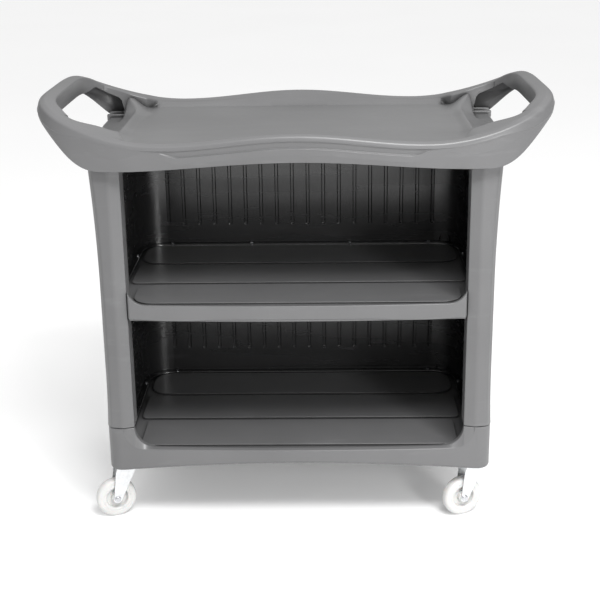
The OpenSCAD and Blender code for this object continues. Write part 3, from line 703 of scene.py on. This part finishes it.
def under_pockets(x_end, y0, y1, z0, z1, keep=()):
    """Hollows between the ribs under a deck; keep lists plan boxes left solid."""
    cuts = []
    edges_x = [-x_end] + [k * RIB_STEP for k in (-2, -1, 0, 1, 2)] + [x_end]
    edges_y = [y0, -RIB_STEP, 0, RIB_STEP, y1]
    for xa, xb in zip(edges_x, edges_x[1:]):
        for ya, yb in zip(edges_y, edges_y[1:]):
            if any(xa < kx1 and xb > kx0 and ya < ky1 and yb > ky0 for kx0, ky0, kx1, ky1 in keep):
                continue
            outline = rounded(xa + 0.0015, ya + 0.0015, xb - 0.0015, yb - 0.0015, 0.006, 3)
            cuts.append(loft("pocket", [[(x, y, z) for x, y in outline] for z in (z0 - 0.01, z1)]))
    return cuts


def deck_strips(strips, low_z, top_z):
    """Raised strips of a deck."""
    parts = []
    for x, y0, y1, r in strips:
        def outline(i):
            return rounded(i - x, y0 + i, x - i, y1 - i, r - i)
        parts.append(slab("strip", outline, low_z - 0.002, top_z, 0.0013, 0.0005))
    return parts


def lip_rise(x):
    """How far the lip's coves stand above the deck at x."""
    return 0.027 * max(0.0, 1 - (MID_END - abs(x)) / 0.045) ** 3


def mid_lip():
    """Front lip of the middle shelf, a thin wall swept up to the posts."""
    bend = MID_END - 0.050
    half = list(np.linspace(0, bend, 30)) + list(np.linspace(bend, MID_END - 0.0015, 44)[1:])
    half += [MID_END - 0.0004, MID_END]
    rings = []
    for x in [-x for x in half[:0:-1]] + half:
        ex = abs(x)
        front = MID_FRONT - BOW * max(0.0, 1 - (ex / (MID_END - LIP_R)) ** 2)
        if ex > MID_END - LIP_R:
            front += LIP_R - math.sqrt(max(0.0, LIP_R ** 2 - (ex - MID_END + LIP_R) ** 2))
        rear = front + MID_EDGE
        top = MID_Z - 0.0010 + lip_rise(x)
        low = MID_LO.z + 0.0005 + 0.0045 * smooth(abs(ex - 0.265) / 0.13)
        outline = [(front, low), (rear, low + 0.002), (rear, top - 0.0008), (front, top)]
        rings.append([(x, y, z) for y, z in fillet(outline, [0.001, 0.0005, 0.003, 0.0028], 4)])
    return loft("lip", rings)


def middle_shelf():
    low_z = MID_Z - GROOVE_D
    under = LOW_BACK_HI.z + 0.0006
    rows = [(WALL, under + 0.004), (WALL, under + 0.001), (WALL - 0.001, under), (0.0022, under),
            (0.0012, under + 0.001), (0.0012, low_z - 0.002), (0.0016, low_z - 0.0006), (0.003, low_z)]
    shelf = loft("middle_shelf_moulding", [[(x, y, z) for x, y in mid_outline(i)] for i, z in rows])
    parts = [mid_lip()] + deck_strips(MID_STRIPS, low_z, MID_Z - 0.0015)
    union(shelf, parts)
    boolean(shelf, under_pockets(0.340, -0.236, 0.160, under, low_z - WALL), "DIFFERENCE")
    return finish_piece(shelf, "grey_plastic", "trolley", "middle_shelf")


def base_outline(i):
    """Plan of the base inset by i."""
    cx, cy = BASE_X - CORNER_R, POST_FRONT + CORNER_R
    r = CORNER_R - i
    return (arc(-cx, cy, r, 180, 262, 12) + bowed(cx - 0.004, POST_FRONT + i) + arc(cx, cy, r, 278, 360, 12)
            + arc(cx, HALF_Y - CORNER_R, r, 0, 90, 12) + arc(-cx, HALF_Y - CORNER_R, r, 90, 180, 12))


def skirt_low(x, y):
    """Lower edge of the base's skirt, a shallow arch between the four feet."""
    near_x = min(1.0, abs(x) / 0.385) ** 1.9
    near_y = min(1.0, abs(y) / 0.225) ** 1.9
    return mix(SKIRT_Z + 0.0045, FOOT_Z, near_x * near_y)


def base_body():
    """Skirt and deck as one shell, open underneath."""
    low_z = BASE_Z - GROOVE_D
    rows = [(WALL, lambda x, y: low_z - WALL), (WALL, lambda x, y: skirt_low(x, y) + 0.001),
            (WALL - 0.001, skirt_low), (0.004, skirt_low), (0.0015, lambda x, y: skirt_low(x, y) + 0.0008),
            (0.0004, lambda x, y: skirt_low(x, y) + 0.003), (0.0004, lambda x, y: low_z - 0.004),
            (0.0004, lambda x, y: BASE_Z - 0.003), (0.0012, lambda x, y: BASE_Z - 0.0008),
            (0.003, lambda x, y: BASE_Z), (BORDER_W - 0.004, lambda x, y: BASE_Z),
            (BORDER_W - 0.002, lambda x, y: BASE_Z - 0.0008), (BORDER_W, lambda x, y: low_z)]
    rings = [[(x, y, z(x, y)) for x, y in base_outline(inset)] for inset, z in rows]
    return loft("base_shelf_moulding", rings)


def cove_height(x, foot, radius, low):
    """Height at x of a quarter-round cove that starts at foot and ends at the post's seam."""
    ex = abs(x)
    if ex <= foot:
        return low
    top = SEAM_Z - SEAM
    reach = min(radius, ex - foot)
    return min(top, low + (top - low) * (1 - math.sqrt(1 - (reach / radius) ** 2)))


def front_face(x):
    """Y of the base's front face at x, with its bow and its round corners."""
    edge = BASE_X - CORNER_R
    ex = abs(x)
    if ex <= edge - 0.004:
        return POST_FRONT - BOW * (1 - (ex / (edge - 0.004)) ** 2)
    reach = min(CORNER_R, max(0.0, ex - edge))
    return POST_FRONT + CORNER_R - math.sqrt(CORNER_R ** 2 - reach ** 2)


def beam_stations():
    """Positions along the base's front, closer together over the coves and round the corners."""
    edge = BASE_X - CORNER_R
    crease = POST_IN + FACET_W
    foot = POST_IN - GUSSET_R
    half = list(np.linspace(0, foot, 40)) + list(np.linspace(foot, crease, 48)[1:]) + [crease + 0.0005]
    half += [mix(crease, edge, t) for t in (0.4, 0.8)] + [edge]
    turns = (10, 20, 30, 40, 50, 60, 68, 76, 82, 86, 90)
    half += [edge + CORNER_R * math.sin(math.radians(a)) for a in turns]
    half = sorted(set(half))
    return [-x for x in half[:0:-1]] + half


def front_beam():
    """Front of the base: its face, and the rolled band along its upper edge and up the coves."""
    inner_foot, outer_foot = POST_IN - GUSSET_R, POST_IN + FACET_W - GUSSET_R
    radii = [0.0005, 0.0005, 0.002, 0.0035, 0.0035]
    rings = []
    for x in beam_stations():
        ex = abs(x)
        y = front_face(x)
        band_top = cove_height(x, inner_foot, GUSSET_R, BASE_Z + 0.0070)
        face_top = min(band_top, cove_height(x, outer_foot, GUSSET_R, BASE_Z + 0.0045))
        if ex > POST_IN:
            band_d = FACET_D * max(0.0, 1 - (ex - POST_IN) / FACET_W)
        else:
            band_d = mix(0.010, FACET_D, smooth((ex - inner_foot) / GUSSET_R))
        tower = smooth((ex - inner_foot + 0.004) / 0.012)
        face_low = skirt_low(x, y) + 0.004
        low = max(face_low, mix(BASE_Z - GROOVE_D - 0.002, SKIRT_Z + 0.004, tower))
        outline = [(y, face_low), (y + BORDER_W, low), (y + BORDER_W, band_top - 0.002 * (1 - tower)),
                   (y + max(band_d, 0.0022), band_top), (y, min(face_top, band_top - 0.0008))]
        rings.append([(x, py, pz) for py, pz in fillet(outline, radii, 4)])
    return loft("beam", rings)


def base_shelf():
    base = base_body()
    low_z = BASE_Z - GROOVE_D
    parts = [front_beam()] + deck_strips(BASE_STRIPS, low_z, BASE_Z - 0.0005)

    def tower_plan(i):
        return post_plan(BASE_X - 0.0004, i + 0.0004)

    def pad_plan(i):
        far, near = 0.003 + i, FOOT_W - i
        return rounded(BASE_X - near, HALF_Y - near, BASE_X - far, HALF_Y - far, 0.028 - i)

    for sx in (-1, 1):
        tower = slab("tower", tower_plan, SKIRT_Z + 0.004, SEAM_Z - SEAM, 0.001)
        boolean(tower, [cove_space(BASE_Z + 0.001, SEAM_Z + 0.01)], "DIFFERENCE")
        reflect(tower.data, sx, -1)
        parts.append(tower)
        for sy in (-1, 1):
            pad = slab("pad", pad_plan, FOOT_Z + 0.006, low_z - 0.001, 0.001, 0.001)
            reflect(pad.data, sx, sy)
            parts.append(pad)
    union(base, parts)
    return finish_piece(base, "grey_plastic", "trolley", "base_shelf", crease=30)


# ---------------------------------------------------------------------------
# Panels
# ---------------------------------------------------------------------------
FLUTES = 18                         # upright grooves in a back panel
FLUTE_STEP = 0.0378
FLUTE_W = 0.007
FLUTE_SLOPE = 0.0022                # width over which a flute's wall falls to its floor
FLUTE_DEEP = 0.0022
FLANGE_W = 0.015                    # foot flange of a panel
FLANGE_T = 0.003


def cove_path(offset):
    """Plan path of a back panel's inner face, moved outwards by offset."""
    c = SIDE_X - COVE_R
    r = COVE_R + offset
    left = arc(-c, BACK_Y - COVE_R, r, 180, 90, 16)
    return left + arc(c, BACK_Y - COVE_R, r, 90, 0, 16)


def foot_flange(z0):
    """Flange along a back panel's foot, following its concave corners."""
    rows = []
    for outer, inner in zip(cove_path(0), cove_path(-FLANGE_W)):
        def between(t):
            return mix(inner[0], outer[0], t), mix(inner[1], outer[1], t)
        rows.append([(*outer, z0), (*inner, z0), (*inner, z0 + FLANGE_T * 0.6),
                     (*between(0.06), z0 + FLANGE_T), (*between(0.9), z0 + FLANGE_T),
                     (*outer, z0 + FLANGE_T + 0.0015)])
    flange = loft("flange", rows)
    flange.data.transform(Matrix.Translation((0, 0.0005, 0)))
    return flange


def back_panel(name, z0, z1, plain_z, node):
    """Back panel whose flutes run up from plain_z with round lower ends."""
    half = FLUTE_W / 2
    wall = [FLUTE_SLOPE * t for t in (-0.5, -0.42, -0.33, -0.22, -0.08, 0.08, 0.22, 0.33, 0.42, 0.5)]
    across = [-half + u for u in wall] + [0] + [half - u for u in wall[::-1]]
    flat = []
    for k in range(FLUTES):
        centre = (k - (FLUTES - 1) / 2) * FLUTE_STEP
        flat += [(centre + u, u) for u in across]
    corner = len(cove_path(0)) // 2 - 1
    left, right = cove_path(0)[:corner], cove_path(0)[-corner:]
    outer = cove_path(PANEL_T)[::-1]
    centre_z = plain_z + half
    levels = [z0, z0 + 0.02, plain_z - 0.004]
    levels += [plain_z + d for d in (-0.0012, -0.0005, 0.0002, 0.0010, 0.0020)]
    levels += [centre_z, centre_z + 0.004] + list(np.linspace(centre_z + 0.02, z1, 10))
    rings = []
    for z in levels:
        inner = []
        for x, u in flat:
            reach = math.hypot(u, max(0.0, centre_z - z))
            inner.append((x, BACK_Y + FLUTE_DEEP * smooth((half - reach) / FLUTE_SLOPE + 0.5)))
        rings.append([(x, y, z) for x, y in left + inner + right + outer])
    panel = loft(name, rings, crease=50)
    union(panel, [foot_flange(z0)])
    return finish_piece(panel, "dark_panel_plastic", "trolley", node, crease=50)


def side_panel(name, lo, hi, node, sign):
    """End panel: a thin sheet, very slightly crowned, with a foot flange."""
    y0, y1 = lo.y, BACK_Y - COVE_R - 0.0005
    inner, outer = [], []
    for v in np.linspace(0, 1, 17):
        inner.append([])
        outer.append([])
        for u in np.linspace(0, 1, 25):
            x = SIDE_X + 0.0006 * math.sin(math.pi * u) * math.sin(math.pi * v)
            inner[-1].append((x, mix(y0, y1, u), mix(lo.z, hi.z, v)))
            outer[-1].append((x + PANEL_T, mix(y0, y1, u), mix(lo.z, hi.z, v)))
    panel = sheet(name, outer, inner)
    y2, y3 = lo.y + 0.022, y1 - 0.001
    section = [(SIDE_X + 0.001, lo.z), (SIDE_X + 0.001, lo.z + 0.0045), (SIDE_X - 0.0015, lo.z + FLANGE_T),
               (SIDE_X - FLANGE_W + 0.001, lo.z + FLANGE_T), (SIDE_X - FLANGE_W, lo.z + FLANGE_T * 0.6),
               (SIDE_X - FLANGE_W, lo.z)]
    flange = loft("flange", [[(x, y, z) for x, z in section] for y in (y2, mix(y2, y3, 0.5), y3)])
    union(panel, [flange])
    reflect(panel.data, sign, 1)
    return finish_piece(panel, "dark_panel_plastic", "trolley", node)


def panels():
    back_panel("back_panel_upper_skin", BACK_LO.z, BACK_HI.z, MID_Z + 0.046, "back_panel_upper")
    back_panel("back_panel_lower_skin", LOW_BACK_LO.z, LOW_BACK_HI.z, BASE_Z + 0.060, "back_panel_lower")
    for side, sign in (("right", 1), ("left", -1)):
        side_panel(f"{side}_panel_upper_skin", SIDE_LO, SIDE_HI, f"{side}_panel_upper", sign)
        side_panel(f"{side}_panel_lower_skin", LOW_SIDE_LO, LOW_SIDE_HI, f"{side}_panel_lower", sign)


# ---------------------------------------------------------------------------
# Casters
# ---------------------------------------------------------------------------
CASTERS = {"fl": "front_left", "fr": "front_right", "rl": "rear_left", "rr": "rear_right"}
JOINTS = {j["name"]: j for j in frame["joints"]}
WHEEL_HALF_W = 0.012
LEG_T = 0.0025                      # thickness of a fork's legs
LEG_Y = 0.01525                     # their distance from the wheel's middle
PIN_R = 0.0056                      # hole for the kingpin


def caster_frame(corner):
    """Matrix with its origin at the axle's centre, Y along the axle and X towards the swivel's axis.

    The trail, the distance between the axle and that axis, comes with it."""
    x, y, z = JOINTS[CASTERS[corner] + "_roll"]["pos_m"]
    swivel = JOINTS[CASTERS[corner] + "_swivel"]["pos_m"]
    along = np.array((swivel[0] - x, swivel[1] - y))
    trail = np.linalg.norm(along)
    ux, uy = along / trail
    return Matrix(((ux, -uy, 0, x), (uy, ux, 0, y), (0, 0, 1, z), (0, 0, 0, 1))), trail


def wheel_profile(wheel_r, half_w):
    """Closed (radius, y) profile: hub, deep recess, stepped side face and a crowned tread."""
    side = [                          # radius, y from the face, radius of the corner
        (0.0062, 0.0010, 0.0004), (0.0105, 0.0010, 0.0008), (0.0118, -0.0002, 0.0008),
        (0.0124, -0.0095, 0.0012), (0.0228, -0.0095, 0.0014), (0.0243, -0.0020, 0.0012),
        (0.0256, -0.0006, 0.002), (0.0300, 0.0001, 0.0008), (0.0312, -0.0009, 0.0006),
        (0.0324, 0.0, 0.0008), (0.0385, -0.0004, 0.003), (0.0420, -0.0022, 0.003),
        (0.0440, -0.0052, 0.003), (wheel_r - 0.0002, -0.0085, 0.004),
    ]
    outline = [(r, half_w + y) for r, y, corner in side] + [(wheel_r, 0.0)]
    outline += [(r, -half_w - y) for r, y, corner in side[::-1]]
    radii = [corner for r, y, corner in side]
    return fillet(outline, radii + [0.02] + radii[::-1], 3)


def fork_leg(y, trail, crown_z):
    """Flat leg in the plane y, tapering down to a round end about the axle; origin at the axle."""
    low = arc(0, 0, 0.0100, 205, 335, 14)
    outline = low + [(trail + 0.016, crown_z - 0.010), (trail + 0.018, crown_z),
                     (0.004, crown_z), (-0.0005, crown_z - 0.012)]
    points = fillet(outline, [0] * len(low) + [0.008, 0, 0, 0.008], 4)
    centre = np.mean(points, axis=0)
    face, edge = LEG_T / 2, LEG_T / 2 - 0.0005
    rings = []
    for dy, inset in ((-face, 0.0006), (-edge, 0), (edge, 0), (face, 0.0006)):
        ring = []
        for x, z in points:
            away = np.array((x, z)) - centre
            px, pz = np.array((x, z)) - away / np.linalg.norm(away) * inset
            ring.append((px, y + dy, pz))
        rings.append(ring[::-1])
    return loft("leg", rings)


def fork_crown(trail, crown_z):
    """Pressed crown of a fork: a plate over the legs with a stepped ring for the bearing."""
    bore = PIN_R - 0.0001
    ring = [(bore, 0, 0.0004), (0.0232, 0, 0.001), (0.0232, 0.004, 0.0006), (0.0205, 0.004, 0.0006),
            (0.0185, 0.0024, 0.001), (0.0155, 0.0024, 0.001), (0.0135, 0.004, 0.0006), (bore, 0.004, 0.0004)]
    profile = fillet([(r, z) for r, z, corner in ring], [corner for r, z, corner in ring], 3)
    head = lathe("crown", profile[::-1])
    head.data.transform(Matrix.Translation((trail, 0, crown_z)) @ Matrix.Rotation(math.pi / 2, 4, "X"))

    def plate(i):
        return rounded(trail - 0.020 + i, -0.0165 + i, trail + 0.018 - i, 0.0165 - i, 0.004)

    bridge = slab("bridge", plate, crown_z, crown_z + 0.0025, 0.0008, 0.0008)
    circle = arc(trail, 0, PIN_R, 0, 345, 23)
    hole = loft("bore", [[(x, y, z) for x, y in circle] for z in (crown_z - 0.01, crown_z + 0.02)])
    return boolean(bridge, [hole], "DIFFERENCE"), head


def casters():
    for corner in CASTERS:
        place, trail = caster_frame(corner)
        lo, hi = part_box(f"caster_{corner}_wheel")
        wheel_r = (hi.z - lo.z) / 2
        wheel = lathe(f"caster_{corner}_tyre", wheel_profile(wheel_r, WHEEL_HALF_W)[::-1])
        wheel.data.transform(place)
        finish_piece(wheel, "wheel_nylon", f"wheel_{corner}", f"caster_{corner}_wheel", crease=30)
        crown_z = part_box(f"caster_{corner}_fork")[1].z - wheel_r - 0.004
        legs = [fork_leg(side * LEG_Y, trail, crown_z + 0.001) for side in (-1, 1)]
        bridge, head = fork_crown(trail, crown_z)
        fork = union(bridge, legs + [head])
        fork.name = f"caster_{corner}_yoke"
        fork.data.transform(place)
        finish_piece(fork, "zinc_steel", f"swivel_{corner}", f"caster_{corner}_fork", crease=30)


def dress_cad_nodes():
    """Materials for the CAD nodes that stay visible."""
    slots = {p["node"]: p["material_slot"] for p in frame["record"]["subparts"]}
    for name, obj in frame["nodes"].items():
        if obj.hide_render:
            continue
        obj.data.materials.clear()
        obj.data.materials.append(MATERIALS[slots[name]])


# ---------------------------------------------------------------------------
# Stage: floor, light and camera
# ---------------------------------------------------------------------------
def stage():
    """Pale matt floor."""
    size = 9.0
    corners = [(-size, -size, 0), (size, -size, 0), (size, size * 2, 0), (-size, size * 2, 0)]
    floor = add_mesh("studio_floor", corners, [(0, 1, 2, 3)])
    n = Nodes("studio_floor")
    shades = n.remap(n.noise(0.8, 2), 0.3, 0.7, 0.0, 1.0)
    n.link(n.blend(shades, (0.885, 0.885, 0.885), (0.90, 0.90, 0.90)), n.bsdf.inputs["Base Color"])
    n.bsdf.inputs["Roughness"].default_value = 0.7
    n.bsdf.inputs["Specular IOR Level"].default_value = 0.1
    n.bsdf.inputs["Emission Color"].default_value = (1, 1, 1, 1)
    n.bsdf.inputs["Emission Strength"].default_value = 0.13
    floor.data.materials.append(n.material)


def sky():
    """Soft light dome, brightest overhead; the camera sees plain white behind the trolley."""
    world = bpy.data.worlds.new("studio")
    bpy.context.scene.world = world
    world.use_nodes = True
    tree = world.node_tree
    tree.nodes.clear()
    new = tree.nodes.new
    coord = new("ShaderNodeTexCoord")
    split = new("ShaderNodeSeparateXYZ")
    tree.links.new(coord.outputs["Generated"], split.inputs["Vector"])
    up = new("ShaderNodeMapRange")
    up.interpolation_type = "SMOOTHSTEP"
    for key, value in (("From Min", -0.05), ("From Max", 0.95), ("To Min", 0.36), ("To Max", 1.35)):
        up.inputs[key].default_value = value
    tree.links.new(split.outputs["Z"], up.inputs["Value"])
    dome = new("ShaderNodeBackground")
    tree.links.new(up.outputs["Result"], dome.inputs["Strength"])
    white = new("ShaderNodeBackground")
    white.inputs["Strength"].default_value = 1.05
    path = new("ShaderNodeLightPath")
    choose = new("ShaderNodeMixShader")
    tree.links.new(path.outputs["Is Camera Ray"], choose.inputs["Fac"])
    tree.links.new(dome.outputs["Background"], choose.inputs[1])
    tree.links.new(white.outputs["Background"], choose.inputs[2])
    output = new("ShaderNodeOutputWorld")
    tree.links.new(choose.outputs["Shader"], output.inputs["Surface"])


def area_light(name, at, aim, size, power):
    """Soft rectangular light at one point, aimed at another."""
    data = bpy.data.lights.new(name, "AREA")
    data.shape = "RECTANGLE"
    data.size, data.size_y = size
    data.energy = power
    light = bpy.data.objects.new(name, data)
    bpy.context.scene.collection.objects.link(light)
    forward = np.array(aim, float) - np.array(at, float)
    forward /= np.linalg.norm(forward)
    right = np.cross(forward, (0, 0, 1))
    right /= np.linalg.norm(right)
    up = np.cross(right, forward)
    light.matrix_world = Matrix([[right[i], up[i], -forward[i], at[i]] for i in range(3)] + [[0, 0, 0, 1]])
    return light


def camera():
    """Camera a little right of centre, slightly above the handles and looking down."""
    at = (0.0607, -2.6758, 1.3336)
    yaw, pitch, roll = -0.0221, 0.3246, -0.0142
    data = bpy.data.cameras.new("camera")
    data.lens = 73.6
    data.sensor_width = 36.0
    forward = np.array((math.sin(yaw) * math.cos(pitch), math.cos(yaw) * math.cos(pitch), -math.sin(pitch)))
    right = np.cross(forward, (0, 0, 1))
    right /= np.linalg.norm(right)
    up = np.cross(right, forward)
    side = right * math.cos(roll) + up * math.sin(roll)
    top = up * math.cos(roll) - right * math.sin(roll)
    cam = bpy.data.objects.new("camera", data)
    cam.matrix_world = Matrix([[side[i], top[i], -forward[i], at[i]] for i in range(3)] + [[0, 0, 0, 1]])
    bpy.context.scene.collection.objects.link(cam)
    bpy.context.scene.camera = cam


# ---------------------------------------------------------------------------
top_tray()
posts()
middle_shelf()
base_shelf()
panels()
casters()
dress_cad_nodes()
stage()
sky()
area_light("key", (1.5, -2.5, 1.15), (-0.25, 0.2, 0.40), (0.5, 0.7), 28)
area_light("top", (0.7, -1.9, 3.0), (0.0, 0.0, 0.60), (1.4, 0.8), 88)
camera()
bpy.context.scene.view_settings.view_transform = "Standard"
